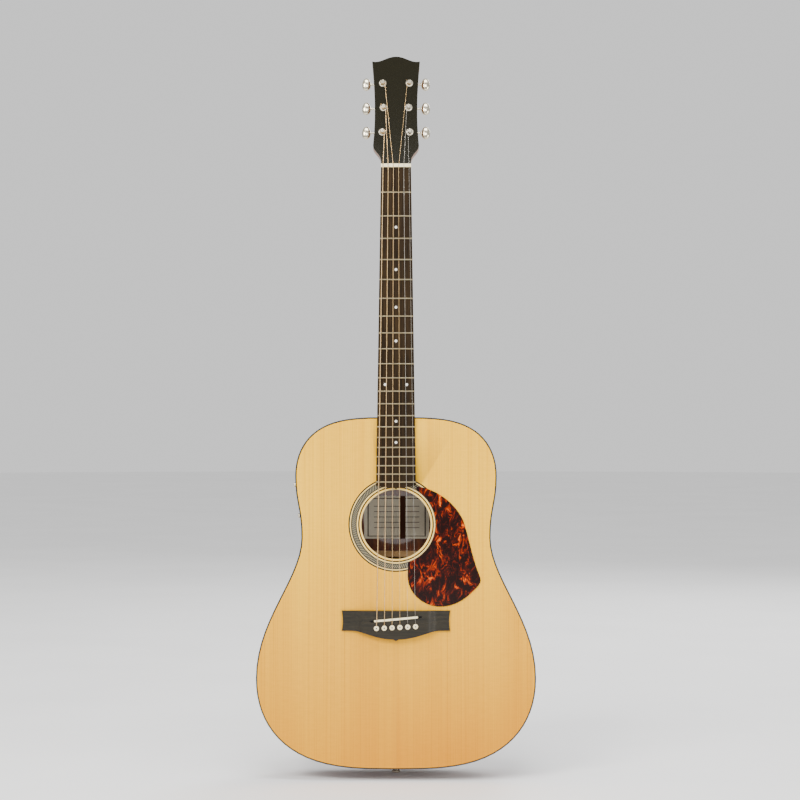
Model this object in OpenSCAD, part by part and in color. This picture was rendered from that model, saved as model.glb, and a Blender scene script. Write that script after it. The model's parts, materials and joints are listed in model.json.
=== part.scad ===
// Steel-string dreadnought acoustic guitar with a side preamp.
// Frame: Z runs along the neck to the headstock, -Y is the playing side, +X is the treble side.
// The origin is on the centre line at the nut, in the plane where the fingerboard is glued down;
// the front of the soundboard lies in the same plane, y = 0.

/* [Scale and neck] */
// String length from the nut to the uncompensated saddle line
scale_length = 648; // [644:1:650]
// Number of frets
fret_count = 21; // [20:1:21]
// Width of the fingerboard at the nut
nut_width = 43.5; // [43:0.5:45]
// Width of the fingerboard at the twelfth fret
twelfth_width = 53.5; // [53:0.5:55]
// Backward tilt of the headstock
head_tilt = 14; // [12:1:15]
// Thickness of the headstock without its veneer
head_t = 14; // [13:0.5:15]

/* [Body] */
// Distance from the nut down to the body's shoulder
shoulder = 361.5; // [360.5:0.5:362.5]
// Length of the body from shoulder to tail
body_length = 510.5; // [508:0.5:513]
// Half width of the upper bout
upper_half = 146; // [144:1:148]
// Half width of the waist
waist_half = 137; // [135:1:139]
// Half width of the lower bout
lower_half = 203; // [201:1:205]
// Depth of the body at the shoulder
depth_neck = 100; // [99:0.5:102]
// Depth of the body at the tail
depth_tail = 120; // [116:1:122]
// Radius of the back's arch across the body
back_arch = 4500; // [4000:100:6000]

/* [Plates and trim] */
// Thickness of the soundboard
top_t = 2.8; // [2.6:0.1:3]
// Thickness of the back
back_t = 2.5; // [2.4:0.1:2.8]
// Thickness of the sides
side_t = 2.3; // [2.2:0.1:2.5]
// Width of the binding strips
binding_w = 2; // [1.8:0.1:2]
// Height of the binding strips
binding_h = 6; // [5:0.5:7]
// Radius of the soundhole
hole_r = 50.3; // [50:0.1:50.5]
// Thickness of the pickguard
guard_t = 1.4; // [1.2:0.1:1.6]

/* [Strings] */
// Distance between the outer strings at the nut
nut_spread = 37.6; // [37:0.2:38]
// Distance between the outer strings at the bridge
bridge_spread = 55.4; // [55:0.2:56]

/* [Hidden] */
$fn = 96;

// heights along the neck, measured down from the nut
tail_z = -shoulder - body_length;
waist_z = -536;
upper_z = -447;
lower_z = tail_z + 132;
hole_z = -516.8;

// sound box: edge of the linings inside the outline, and depths that split front from back
lining_inset = 8.3;
lining_h = 13.2;
mid_y = 60;
deep_y = 140;
// reach of cutting shapes past everything they cut
far = 300;

// radii of the rosette's rings, from the soundhole outwards
ring_r = [53.1, 54.9, 57.8, 64.4, 66.9, 68.9];
inlay_t = 1.2;
pin_r = 2.7;
jack_r = 6.5;

// fingerboard
board_end_z = -460.5;
board_t = 6.3;
crown_r = 305;
nut_h = 5;
fret_h = 1.1;
fret_w = 2;
tang_w = 0.6;
tang_h = 1.6;
function fret_z(n) = -scale_length * (1 - pow(2, -n / 12));
function board_half(z) = nut_width / 2 + (twelfth_width - nut_width) * -z / scale_length;
// distance that a crowned surface has dropped at x
function crown(x) = crown_r - sqrt(crown_r * crown_r - x * x);

// headstock, in its own tilted plane whose u axis starts at the nut's upper edge
head_l = 166.4;
head_corner = 158.7;
veneer_t = 1.5;
post_x = [20, 18.4, 19.4];
post_u = [48.9, 86.7, 124.6];
post_r = 3;
waist_r = 2.5;
sleeve_r = 4.6;
worm_gap = 6.2;
gear_depth = head_t + 5.5;
function post_row(i) = i < 4 ? i - 1 : 6 - i;
function post_side(i) = i < 4 ? -1 : 1;
function post_at(i) = [post_side(i) * post_x[post_row(i)], post_u[post_row(i)]];
// point of the headstock's own frame (x, depth, u) in the guitar's frame
function head_point(x, y, u) = [
    x, y * cos(head_tilt) + u * sin(head_tilt), nut_h - y * sin(head_tilt) + u * cos(head_tilt)
];

// bridge and strings
saddle_z = -653.4;
saddle_slope = 5.2;
pin_z = -665.4;
pin_slope = 2.7;
bridge_h = 9;
string_r = [0.67, 0.53, 0.41, 0.31, 0.21, 0.16];
function string_k(i) = (i - 3.5) / 5;
function string_nut_x(i) = string_k(i) * nut_spread;
function string_saddle_x(i) = string_k(i) * bridge_spread;
function pin_at(i) = [string_k(i) * 56.5, pin_z + string_k(i) * 56.5 * tan(pin_slope)];
function saddle_z_at(x) = saddle_z + x * tan(saddle_slope);
nut_top = board_t + fret_h + 0.6;
saddle_top = 12.2;

// jack, preamp and truss rod
jack_y = 58;
plug_r = 3.25;
preamp_y = 38;
knob_z = [-461, -506];
rod_y = 7.5;
block_l = 56;
neck_block_half = 38;
tail_block_half = 36;

// ---- curves and placing ----

// points of a cubic curve from a to d, without its last point
function curve(a, b, c, d, n = 10) = [
    for (i = [0 : n - 1])
        let (t = i / n, s = 1 - t)
            s * s * s * a + 3 * s * s * t * b + 3 * s * t * t * c + t * t * t * d
];

function mirrored(half) = concat(half, [for (i = [len(half) - 1 : -1 : 0]) [-half[i][0], half[i][1]]]);

// right half of the body's outline, from the tail's centre up to the shoulder's centre
function outline_half() = concat(
    [for (t = [90 : -5 : 1]) [
        lower_half * pow(cos(t), 0.65), lower_z - (lower_z - tail_z) * pow(sin(t), 0.94)]],
    curve([lower_half, lower_z], [lower_half, lower_z + 86],
        [waist_half, waist_z - 59], [waist_half, waist_z], 14),
    curve([waist_half, waist_z], [waist_half, waist_z + 43],
        [upper_half, upper_z - 39], [upper_half, upper_z], 8),
    [for (t = [0 : 5 : 86]) [
        upper_half * pow(cos(t), 0.55), upper_z + (-shoulder - upper_z) * pow(sin(t), 0.956)]]
);

function unit(v) = v / norm(v);

// the same half outline moved inwards by d, closed along the centre line
function inset_half(d) = let (p = outline_half(), n = len(p)) concat(
    [[0, tail_z + d]],
    [for (i = [1 : n - 1])
        let (v = unit((i < n - 1 ? p[i + 1] : [0, -shoulder]) - p[i - 1]))
            p[i] + d * [-v[1], v[0]]],
    [[0, -shoulder - d]]
);

// children drawn in the plane of the soundboard, given thickness from y1 to y2
module along_y(y1, y2) {
    translate([0, y2, 0]) rotate([90, 0, 0]) linear_extrude(y2 - y1) children();
}

module disc_y(x, z, r, y1, y2) {
    translate([x, y2, z]) rotate([90, 0, 0]) cylinder(h = y2 - y1, r = r);
}

module body_prism(d, y1, y2) {
    along_y(y1, y2) polygon(mirrored(inset_half(d)));
}

// wall that follows the outline, between the insets d1 and d2
module body_ring(d1, d2, y1, y2) {
    along_y(y1, y2) difference() {
        polygon(mirrored(inset_half(d1)));
        polygon(mirrored(inset_half(d2)));
    }
}

// slab between the depths d1 and d2 under the arched outer face of the back
module back_slab(d1, d2) {
    reach = 215;
    xs = [for (i = [-10 : 10]) i * reach / 10];
    arch = [for (x = xs) [x, -x * x / (2 * back_arch)]];
    translate([0, depth_neck, -shoulder])
        rotate([atan((depth_tail - depth_neck) / body_length), 0, 0])
            translate([0, 0, -560]) linear_extrude(620) polygon(concat(
                [for (p = arch) p - [0, d1]],
                [for (i = [len(arch) - 1 : -1 : 0]) arch[i] - [0, d2]]
            ));
}

// a brace lying along the soundboard, with its middle at (x, z), turned by angle
module top_bar(x, z, length, width, height, angle) {
    translate([x, top_t, z]) rotate([0, angle, 0])
        translate([-length / 2, 0, -width / 2]) cube([length, height, width]);
}

module on_head() {
    translate([0, 0, nut_h]) rotate([-head_tilt, 0, 0]) children();
}

// round bar of one radius swept along a path that runs mostly along Z
module swept_bar(path, r, sides = 12) {
    count = len(path);
    ring = [for (k = [0 : sides - 1]) r * [cos(k * 360 / sides), sin(k * 360 / sides), 0]];
    rings = [for (p = path) for (corner = ring) p + corner];
    polyhedron(points = rings, faces = concat(
        [[for (k = [0 : sides - 1]) k]],
        [for (i = [0 : count - 2]) for (k = [0 : sides - 1]) [
            i * sides + k, (i + 1) * sides + k, (i + 1) * sides + (k + 1) % sides,
            i * sides + (k + 1) % sides]],
        [[for (k = [sides - 1 : -1 : 0]) (count - 1) * sides + k]]
    ));
}

// ---- sound box ----

module soundboard() {
    color("burlywood") difference() {
        body_prism(binding_w, 0, top_t);
        disc_y(0, hole_z, hole_r + binding_w, -1, top_t + 1);
        difference() {
            disc_y(0, hole_z, ring_r[5], -1, inlay_t);
            disc_y(0, hole_z, ring_r[0], -2, 2);
        }
        for (i = [1 : 6]) disc_y(pin_at(i)[0], pin_at(i)[1], pin_r, -1, top_t + 1);
    }
}

module back() {
    color("sienna") intersection() {
        body_prism(binding_w, mid_y, deep_y);
        back_slab(0, back_t);
    }
}

module side_wall() {
    difference() {
        body_ring(0, side_t, binding_h, deep_y);
        back_slab(-60, binding_h);
        tenon_box();
        rod_notch();
        jack_hole(jack_r);
        preamp_window();
    }
}

module side_bass() {
    color("saddlebrown") intersection() {
        side_wall();
        translate([-far, -far, -3 * far]) cube([far, 2 * far, 3 * far]);
    }
}

module side_treble() {
    color("saddlebrown") intersection() {
        side_wall();
        translate([0, -far, -3 * far]) cube([far, 2 * far, 3 * far]);
    }
}

module tenon_box() {
    translate([-12, 12, -shoulder - 20]) cube([24, 68, 21]);
}

// way through the rim for the truss rod, under the fingerboard
module rod_notch() {
    translate([-3.3, -1, -shoulder - 3]) cube([6.6, 11.8, 5]);
}

module jack_hole(r) {
    translate([0, jack_y, tail_z - 5]) cylinder(h = 80, r = r);
}

module block_region(z1, z2, half) {
    intersection() {
        body_prism(side_t, top_t, deep_y);
        translate([-half, 0, z1]) cube([2 * half, far, z2 - z1]);
    }
}

// neck block, mortised for the neck's tenon, and tail block, bored for the end pin
module end_blocks() {
    color("peru") difference() {
        union() {
            block_region(-shoulder - block_l, -shoulder, neck_block_half);
            block_region(tail_z, tail_z + 22, tail_block_half);
        }
        back_slab(-60, back_t);
        tenon_box();
        translate([0, rod_y, -shoulder - block_l - 1]) cylinder(h = block_l + 5, r = 3.3);
        jack_hole(jack_r);
    }
}

// keeps the blocks' places free of lining
module blocks_gap() {
    translate([-neck_block_half, 0, -shoulder - 70]) cube([2 * neck_block_half, far, 80]);
    translate([-tail_block_half, 0, tail_z - 5]) cube([2 * tail_block_half, far, 40]);
}

module top_lining() {
    color("tan") difference() {
        body_ring(side_t, lining_inset, top_t, top_t + lining_h);
        blocks_gap();
    }
}

module back_lining() {
    color("tan") difference() {
        intersection() {
            body_ring(side_t, lining_inset, mid_y, deep_y);
            back_slab(back_t, back_t + lining_h);
        }
        blocks_gap();
    }
}

module top_binding() {
    color("black") difference() {
        body_ring(0, binding_w, 0, binding_h);
        rod_notch();
    }
}

module back_binding() {
    color("black") intersection() {
        body_ring(0, binding_w, mid_y, deep_y);
        back_slab(0, binding_h);
    }
}

// ---- rosette and pickguard ----

module inlay_ring(r1, r2, y2 = inlay_t) {
    difference() {
        disc_y(0, hole_z, r2, 0, y2);
        disc_y(0, hole_z, r1, -1, y2 + 1);
    }
}

module rosette_cream_rings() {
    color("ivory") {
        inlay_ring(hole_r, hole_r + binding_w, top_t);
        inlay_ring(ring_r[1], ring_r[2]);
        inlay_ring(ring_r[3], ring_r[4]);
    }
}

module rosette_black_rings() {
    color("black") {
        inlay_ring(ring_r[0], ring_r[1]);
        inlay_ring(ring_r[4], ring_r[5]);
    }
}

module rosette_mosaic() {
    color("dimgray") inlay_ring(ring_r[2], ring_r[3]);
}

module pickguard() {
    arc_r = ring_r[2];
    start_x = 29.4;
    top_angle = acos(start_x / arc_r);
    color("darkred") along_y(-guard_t, 0) polygon(concat(
        curve([start_x, -461.8], [52, -464], [82, -480], [97, -510], 10),
        curve([97, -510], [105, -532], [110, -566], [122, -594], 6),
        curve([122, -594], [125, -602], [117, -608], [110, -615], 6),
        curve([110, -615], [86, -640], [52, -643], [30, -622], 10),
        curve([30, -622], [16, -608], [16, -592], [17.4, -581], 7),
        [for (a = [-72 : 6 : top_angle - 3])
            [0, hole_z] + arc_r * [cos(a), sin(a)]],
        [[start_x, hole_z + arc_r * sin(top_angle)]]
    ));
}

// ---- bracing ----

brace_w = 8;
brace_h = 15;
half_lap_gap = 0.001;
x_cross_z = -606;
x_angle = 49;

// distance from the centre line to the inner side of an X leg at height z
function x_inner(z) = (x_cross_z - z) / tan(x_angle) - (brace_w / 2 + 0.5) / sin(x_angle);

module x_leg(side, height) {
    top_bar(side * 20, x_cross_z - 20 * tan(x_angle), 420, brace_w, height, side * x_angle);
}

module x_brace_bass() {
    color("wheat") difference() {
        intersection() {
            x_leg(-1, brace_h);
            body_prism(lining_inset, 0, deep_y);
        }
        translate([0, brace_h / 2 - 2 * brace_h, 0]) x_leg(1, 2 * brace_h + half_lap_gap);
        heel_relief();
    }
}

module x_brace_treble() {
    color("wheat") difference() {
        intersection() {
            x_leg(1, brace_h);
            body_prism(lining_inset, 0, deep_y);
        }
        translate([0, brace_h / 2, 0]) x_leg(-1, 2 * brace_h);
        heel_relief();
    }
}

// room for the neck block
module heel_relief() {
    translate([-60, 0, -shoulder - 88]) cube([120, 60, 90]);
}

module transverse_brace() {
    color("wheat") difference() {
        intersection() {
            top_bar(0, -442, 300, 12, 17, 0);
            body_prism(lining_inset, 0, deep_y);
        }
        translate([0, rod_y, -460]) cylinder(h = 40, r = 4.6);
    }
}

module bridge_plate() {
    color("peru") difference() {
        along_y(top_t, top_t + 2.6) polygon(mirrored([[0, -688], [x_inner(-688), -688],
            [x_inner(-648), -648], [0, -648]]));
        for (i = [1 : 6]) disc_y(pin_at(i)[0], pin_at(i)[1], pin_r, -1, 20);
    }
}

module tone_bars() {
    color("wheat") intersection() {
        union() {
            top_bar(18, -735, 190, 7, 12, 28);
            top_bar(10, -800, 190, 7, 12, 28);
        }
        body_prism(lining_inset, 0, deep_y);
    }
}

module finger_braces() {
    color("wheat") intersection() {
        for (s = [-1, 1]) {
            top_bar(s * 143, -661, 84, 7, 9, s * -20);
            top_bar(s * 162, -731, 50, 7, 9, s * -20);
        }
        body_prism(lining_inset, 0, deep_y);
    }
}

module back_braces() {
    color("wheat") for (z = [-425, -566, -665, -775]) {
        w = z > -600 ? 8 : 18;
        intersection() {
            translate([-far, 0, z - w / 2]) cube([2 * far, far, w]);
            back_slab(back_t, back_t + (z > -600 ? 16 : 11));
            body_prism(lining_inset, 0, deep_y);
        }
    }
}

module back_center_strip() {
    color("wheat") for (r = [[-848, -785], [-765, -675], [-655, -571]]) {
        intersection() {
            translate([-8, 0, r[0]]) cube([16, far, r[1] - r[0]]);
            back_slab(back_t, back_t + 2.5);
        }
    }
}

module label() {
    color("gainsboro") intersection() {
        translate([-47.7, 0, -544]) cube([97, far, 64]);
        back_slab(back_t, back_t + 0.4);
    }
}

// ---- bridge ----

module bridge_outline() {
    half = concat(
        [[0, -685.2], [3.5, -682.9]],
        curve([3.5, -682.9], [32, -682.4], [46, -670.7], [64, -670.7], 10),
        [[64, -670.7]],
        curve([78.5, -670.7], [76.4, -662], [76.4, -650], [78.5, -641.5], 6),
        [[78.5, -641.5]]
    );
    polygon(mirrored(half));
}

// thick middle and thin wings, seen along the neck
module bridge_profile() {
    half = concat(
        [[78.6, 0.5], [78.6, -3], [60, -4]],
        curve([60, -4], [52, -4.4], [52, -bridge_h], [43, -bridge_h], 8),
        [[43, -bridge_h]]
    );
    polygon(mirrored(half));
}

module saddle_slot(width, length, y1, y2) {
    translate([0, y2, saddle_z]) rotate([90, -saddle_slope, 0]) linear_extrude(y2 - y1) {
        square([length - width, width], center = true);
        for (s = [-1, 1]) translate([s * (length - width) / 2, 0]) circle(d = width);
    }
}

module bridge() {
    color("darkslategray") difference() {
        intersection() {
            along_y(-bridge_h, 0) bridge_outline();
            translate([0, 0, -700]) linear_extrude(80) bridge_profile();
        }
        saddle_slot(3.2, 75, -20, -3.5);
        for (i = [1 : 6]) disc_y(pin_at(i)[0], pin_at(i)[1], pin_r, -20, 1);
    }
}

module saddle() {
    color("ivory") intersection() {
        saddle_slot(3, 64, -saddle_top - 1, -3.5);
        translate([0, crown_r - saddle_top, -700]) cylinder(h = 90, r = crown_r, $fn = 256);
    }
}

module bridge_pins() {
    color("ivory") for (i = [1 : 6]) {
        translate([pin_at(i)[0], 15, pin_at(i)[1]]) rotate([90, 0, 0]) rotate_extrude($fn = 48)
            polygon([[0, 0], [1.9, 0], [2.6, 24], [3.75, 24], [3.75, 25.4], [3.1, 26.3], [1.1, 26.6],
                [1.1, 26.3], [0, 26.3]]);
    }
}

module end_pin_jack() {
    color("silver") difference() {
        translate([0, jack_y, tail_z - 13]) rotate_extrude() polygon([
            [0, 0], [6.2, 0], [6.6, 1], [6.6, 2.2], [4.6, 4], [4.4, 8], [6.9, 11.6],
            [6.9, 13], [jack_r, 13], [jack_r, 45], [0, 45]]);
        translate([0, jack_y, tail_z - 14]) cylinder(h = 40, r = plug_r);
    }
}

// ---- neck ----

neck_depth_nut = 15;
heel_depth = 96;
heel_nose = 19.5;

// depth of the shaft and of the heel behind the fingerboard's plane
function shaft_depth(z) = neck_depth_nut + (z < 0 ? -z * 0.008 : z * 0.15);
function heel_depth_at(z) =
    let (rise = (z + shoulder - heel_nose) / 46)
        rise > 0 ? min(heel_depth, 18 - 17 * ln(rise)) : heel_depth;
function heel_nose_z(y) = heel_nose - shoulder + 46 * exp(-(y - 18) / 17);
function heel_half(y) = 12.5 + 15.5 * exp(-y / 35);

function shaft_x(z, y) =
    let (d = shaft_depth(z))
        y < d ? min(board_half(z), 30) * pow(1 - pow(y / d, 2.3), 0.5) : 0;
function heel_x(z, y) =
    let (k = (z + shoulder) / (heel_nose_z(y) + shoulder))
        k < 1 ? heel_half(y) * pow(1 - pow(max(k, 0), 2.2), 0.5) : 0;

// one cross-section of the neck: front edge, then round the back
function neck_section(z) =
    let (
        front = z > nut_h ? (z - nut_h) * tan(head_tilt) + 0.5 : 0,
        depth = z < -250 ? max(shaft_depth(z), heel_depth_at(z)) : shaft_depth(z),
        n = 9,
        ys = [for (k = [0 : n]) front + (depth - front) * sin(90 * k / n)],
        half = [for (y = ys) [max(shaft_x(z, y), z < -250 ? heel_x(z, y) : 0, 0.05), y, z]]
    )
        concat(half, [for (k = [n : -1 : 0]) [-half[k][0], half[k][1], z]]);

module neck_shaft() {
    curl = [for (d = [0, 3, 7, 12, 18, 20, 22, 25, 30, 36, 44, 54, 66]) d - shoulder];
    zs = concat([20, 12, nut_h, 0, -60, -120, -180, -230, -265, -283],
        [for (i = [len(curl) - 1 : -1 : 0]) curl[i]]);
    sections = [for (z = zs) neck_section(z)];
    m = len(sections[0]);
    count = len(sections);
    polyhedron(
        points = [for (s = sections) for (p = s) p],
        faces = concat(
            [[for (k = [m - 1 : -1 : 0]) k]],
            [for (i = [0 : count - 2]) for (k = [0 : m - 1]) [
                i * m + k, i * m + (k + 1) % m, (i + 1) * m + (k + 1) % m, (i + 1) * m + k]],
            [[for (k = [0 : m - 1]) (count - 1) * m + k]]
        )
    );
}

module head_outline() {
    half = concat(
        [[21.5, 0]],
        curve([21.7, 4], [22.5, 16], [33.8, 20], [33.4, 28], 8),
        curve([33.4, 28], [29.6, 68], [30.2, 105], [35, head_corner], 12),
        curve([35, head_corner], [22, head_corner - 3], [14, head_l], [0, head_l], 10),
        [[0, head_l]]
    );
    polygon(mirrored(half));
}

// everything above the scarf joint, in the headstock's own frame
module above_scarf() {
    on_head() translate([-60, -60, 2]) cube([120, 120, 200]);
}

module neck() {
    color("saddlebrown") difference() {
        union() {
            neck_shaft();
            on_head() along_y(0, head_t) head_outline();
            tenon_box();
        }
        translate([-3.2, -1, -shoulder - 21]) cube([6.4, 11.8, shoulder + 13]);
        above_scarf();
    }
}

module headstock() {
    color("saddlebrown") difference() {
        intersection() {
            union() {
                neck_shaft();
                on_head() along_y(0, head_t) head_outline();
            }
            above_scarf();
        }
        on_head() for (i = [1 : 6]) disc_y(post_at(i)[0], post_at(i)[1], sleeve_r, -1, head_t + 1);
    }
}

module heel_cap() {
    slice = [for (k = [0 : 12])
        let (z = -shoulder + (heel_nose_z(heel_depth) + shoulder) * sin(90 * k / 12))
            [heel_x(z, heel_depth), z]];
    color("black") along_y(heel_depth, heel_depth + 3) polygon(mirrored(slice));
}

module truss_rod() {
    color("gray") translate([0, rod_y, -shoulder - block_l + 1])
        cylinder(h = shoulder + block_l - 12, r = 3);
}

module truss_rod_nut() {
    color("goldenrod") translate([0, rod_y, -shoulder - block_l - 12.5]) difference() {
        cylinder(h = 12.3, r = 4);
        translate([0, 0, -1]) cylinder(h = 9, r = 2.9, $fn = 6);
    }
}

module fingerboard() {
    half = concat(
        [[0, board_end_z - 5.4], [2.2, board_end_z - 3.5]],
        curve([2.2, board_end_z - 3.5], [9, board_end_z - 3.1], [20, board_end_z - 1.9],
            [board_half(board_end_z), board_end_z], 5),
        [[board_half(board_end_z), board_end_z], [nut_width / 2, 0]]
    );
    color("black") difference() {
        intersection() {
            along_y(-board_t, 0) polygon(mirrored(half));
            translate([0, crown_r - board_t, -2 * far]) cylinder(h = 2 * far + 10, r = crown_r, $fn = 256);
        }
        for (n = [1 : fret_count]) fret_slot(n);
        dots(1.5);
    }
}

module fret_slot(n) {
    half = board_half(fret_z(n));
    translate([-half - 1, -board_t - 1, fret_z(n) - tang_w / 2])
        cube([2 * half + 2, 1 + crown(half) + tang_h, tang_w]);
}

module frets() {
    color("silver") for (n = [1 : fret_count]) {
        half = board_half(fret_z(n)) - 0.2;
        translate([0, 0, fret_z(n)]) {
            translate([-half, -board_t + crown(half + 0.2), -tang_w / 2])
                cube([2 * half, tang_h, tang_w]);
            intersection() {
                translate([0, crown_r - board_t, 0]) rotate_extrude($fn = 256) polygon([
                    [crown_r - 1.5, -tang_w / 2], [crown_r, -tang_w / 2], [crown_r, -fret_w / 2],
                    [crown_r + 0.5, -fret_w / 2], [crown_r + fret_h, -0.5], [crown_r + fret_h, 0.5],
                    [crown_r + 0.5, fret_w / 2], [crown_r, fret_w / 2], [crown_r, tang_w / 2],
                    [crown_r - 1.5, tang_w / 2]]);
                translate([-half, -20, -5]) cube([2 * half, 20, 10]);
            }
        }
    }
}

// round markers let into the fingerboard between the frets
module dots(depth) {
    for (n = [3, 5, 7, 9, 12, 15, 17]) {
        z = (fret_z(n) + fret_z(n - 1)) / 2;
        for (x = n == 12 ? [-15.6, 15.6] : [0]) {
            disc_y(x, z, 2, -board_t + crown(x) - 0.2, -board_t + crown(x) + depth);
        }
    }
}

module position_dots() {
    color("ivory") intersection() {
        dots(1.5);
        translate([0, crown_r - board_t, -2 * far]) cylinder(h = 2 * far + 10, r = crown_r, $fn = 256);
    }
}

module nut() {
    color("ivory") difference() {
        intersection() {
            translate([-nut_width / 2, -nut_top - 1, 0]) cube([nut_width, nut_top + 1, nut_h]);
            translate([0, crown_r - nut_top - 0.5, -5]) cylinder(h = 20, r = crown_r, $fn = 256);
        }
        for (i = [1 : 6]) {
            run = post_end(i) - nut_point(i);
            slot_r = string_r[i - 1] + 0.06;
            translate(nut_point(i)) rotate([-atan2(run[1], run[2]), atan2(run[0], run[2]), 0]) {
                translate([0, 0, -1]) cylinder(h = nut_h + 4, r = slot_r);
                translate([-slot_r, -3, -1]) cube([2 * slot_r, 3, nut_h + 4]);
            }
        }
    }
}

module headstock_veneer() {
    color("black") on_head() difference() {
        along_y(-veneer_t, 0) head_outline();
        for (i = [1 : 6]) disc_y(post_at(i)[0], post_at(i)[1], sleeve_r, -5, 5);
    }
}

// ---- tuners ----

module tuner_bushings() {
    color("silver") on_head() for (i = [1 : 6]) {
        translate([post_at(i)[0], head_t - 1, post_at(i)[1]]) rotate([90, 0, 0])
            rotate_extrude() polygon([
                [post_r + 0.06, 0], [sleeve_r, 0], [sleeve_r, head_t + veneer_t - 1],
                [5.7, head_t + veneer_t - 1], [5.7, head_t + veneer_t - 0.2],
                [4.6, head_t + veneer_t + 0.8], [post_r + 0.06, head_t + veneer_t + 0.8]]);
    }
}

// string post with its worm gear, turning in the bushing
module tuner_post(i) {
    p = post_at(i);
    color("silver") on_head() difference() {
        union() {
            translate([p[0], gear_depth + 2.5, p[1]]) rotate([90, 0, 0]) rotate_extrude($fn = 64)
                polygon([[0, 0], [post_r, 0], [post_r, gear_depth + 5.4], [waist_r, gear_depth + 6.2],
                    [waist_r, gear_depth + 9.4], [post_r, gear_depth + 10], [post_r, gear_depth + 11.2],
                    [2.3, gear_depth + 12], [0, gear_depth + 12]]);
            translate([p[0], gear_depth + 2, p[1]]) rotate([90, 0, 0]) linear_extrude(4)
                polygon([for (k = [0 : 35]) let (r = k % 2 == 0 ? 4.35 : 3.7)
                    r * [cos(k * 10), sin(k * 10)]]);
        }
        translate([p[0] - 5, -6.4, p[1]]) rotate([0, 90, 0]) cylinder(h = 10, r = 0.8);
    }
}

// button on its shaft, with the worm that drives the gear
module tuner_knob(i) {
    p = post_at(i);
    s = post_side(i);
    color("silver") on_head() translate([0, gear_depth, p[1] + worm_gap]) {
        translate([s * (abs(p[0]) - 5), 0, 0]) rotate([0, s * 90, 0]) rotate_extrude($fn = 48)
            polygon(concat(
                [[0, 0]],
                [for (k = [0 : 8]) [k % 2 == 0 ? 1.65 : 1.25, 0.6 + k * 1.1]],
                [[1.4, 9.6], [1.4, 38.5 - abs(p[0])], [2.4, 39.5 - abs(p[0])],
                    [2.4, 43 - abs(p[0])], [0, 43 - abs(p[0])]]
            ));
        translate([s * 43.3, 0, 0]) resize([13, 7.6, 19.4]) sphere(r = 10, $fn = 24);
    }
}

module tuner_housings() {
    color("silver") on_head() for (i = [1 : 6]) {
        p = post_at(i);
        s = post_side(i);
        difference() {
            translate([p[0] - 8, head_t, p[1] - 8]) cube([16, 11, 22]);
            disc_y(p[0], p[1], post_r + 0.06, head_t - 1, head_t + 4);
            disc_y(p[0], p[1], 4.9, head_t + 2, head_t + 9);
            translate([p[0] - s * 6.5, gear_depth, p[1] + worm_gap]) rotate([0, s * 90, 0])
                cylinder(h = 13, r = 1.9);
            translate([p[0], gear_depth, p[1] + worm_gap]) rotate([0, s * 90, 0])
                cylinder(h = 20, r = 1.46);
        }
    }
}

module tuner_screws() {
    color("silver") on_head() for (i = [1 : 6]) {
        p = post_at(i);
        translate([p[0], head_t, p[1] - 11]) rotate([-90, 0, 0]) rotate_extrude($fn = 32)
            polygon([[0, 0], [2.8, 0], [2.8, 0.8], [1.6, 1.8], [0, 2]]);
    }
}

// ---- strings ----

function nut_point(i) = [string_nut_x(i), -nut_top + crown(string_nut_x(i)) - string_r[i - 1] + 0.4, 0];
function saddle_point(i) =
    let (x = string_saddle_x(i))
        [x, -saddle_top + crown(x) - string_r[i - 1] - 0.06, saddle_z_at(x)];
function post_end(i) =
    let (p = post_at(i))
        head_point(p[0] - post_side(i) * (waist_r + string_r[i - 1] + 0.1), -4.6, p[1]);

module guitar_string(i) {
    r = string_r[i - 1];
    pin = pin_at(i);
    low = [pin[0], -bridge_h - r - 0.05, pin[1] + 3.9 + r];
    color("peru") swept_bar([low, saddle_point(i), nut_point(i), post_end(i)], r);
}

// ---- preamp ----

module preamp_window() {
    intersection() {
        body_prism(-1, preamp_y - 14, preamp_y + 16);
        translate([-160, 0, -524]) cube([60, 100, 80]);
    }
}

module preamp() {
    color("dimgray") difference() {
        union() {
            intersection() {
                body_ring(-0.6, side_t, preamp_y - 14, preamp_y + 16);
                translate([-160, 0, -524]) cube([60, 100, 80]);
            }
            intersection() {
                body_prism(side_t, preamp_y - 14, preamp_y + 16);
                translate([-150, 0, -524]) cube([38, 100, 80]);
            }
        }
        for (z = knob_z) {
            translate([-150, preamp_y, z]) rotate([0, 90, 0]) cylinder(h = 20, r = 1.55);
        }
    }
}

module preamp_knob(z, face) {
    color("silver") translate([-face, preamp_y, z]) rotate([0, -90, 0]) rotate_extrude($fn = 64)
        polygon([[0, -10], [1.5, -10], [1.5, 0], [3.3, 0], [3.3, 2.2], [2.6, 3], [0, 3]]);
}

soundboard();
back();
side_bass();
side_treble();
end_blocks();
top_lining();
back_lining();
top_binding();
back_binding();
rosette_cream_rings();
rosette_black_rings();
rosette_mosaic();
pickguard();
x_brace_bass();
x_brace_treble();
transverse_brace();
tone_bars();
finger_braces();
bridge_plate();
back_braces();
back_center_strip();
label();
bridge();
saddle();
bridge_pins();
end_pin_jack();
neck();
headstock();
fingerboard();
frets();
position_dots();
nut();
headstock_veneer();
heel_cap();
truss_rod();
truss_rod_nut();
tuner_housings();
tuner_bushings();
tuner_screws();
preamp();
preamp_knob(knob_z[0], 146.8);  // preamp_knob_volume
preamp_knob(knob_z[1], 140.6);  // preamp_knob_tone
tuner_post(1);  // tuner_post_1
tuner_post(2);  // tuner_post_2
tuner_post(3);  // tuner_post_3
tuner_post(4);  // tuner_post_4
tuner_post(5);  // tuner_post_5
tuner_post(6);  // tuner_post_6
tuner_knob(1);  // tuner_knob_1
tuner_knob(2);  // tuner_knob_2
tuner_knob(3);  // tuner_knob_3
tuner_knob(4);  // tuner_knob_4
tuner_knob(5);  // tuner_knob_5
tuner_knob(6);  // tuner_knob_6
guitar_string(1);  // string_1
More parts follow.
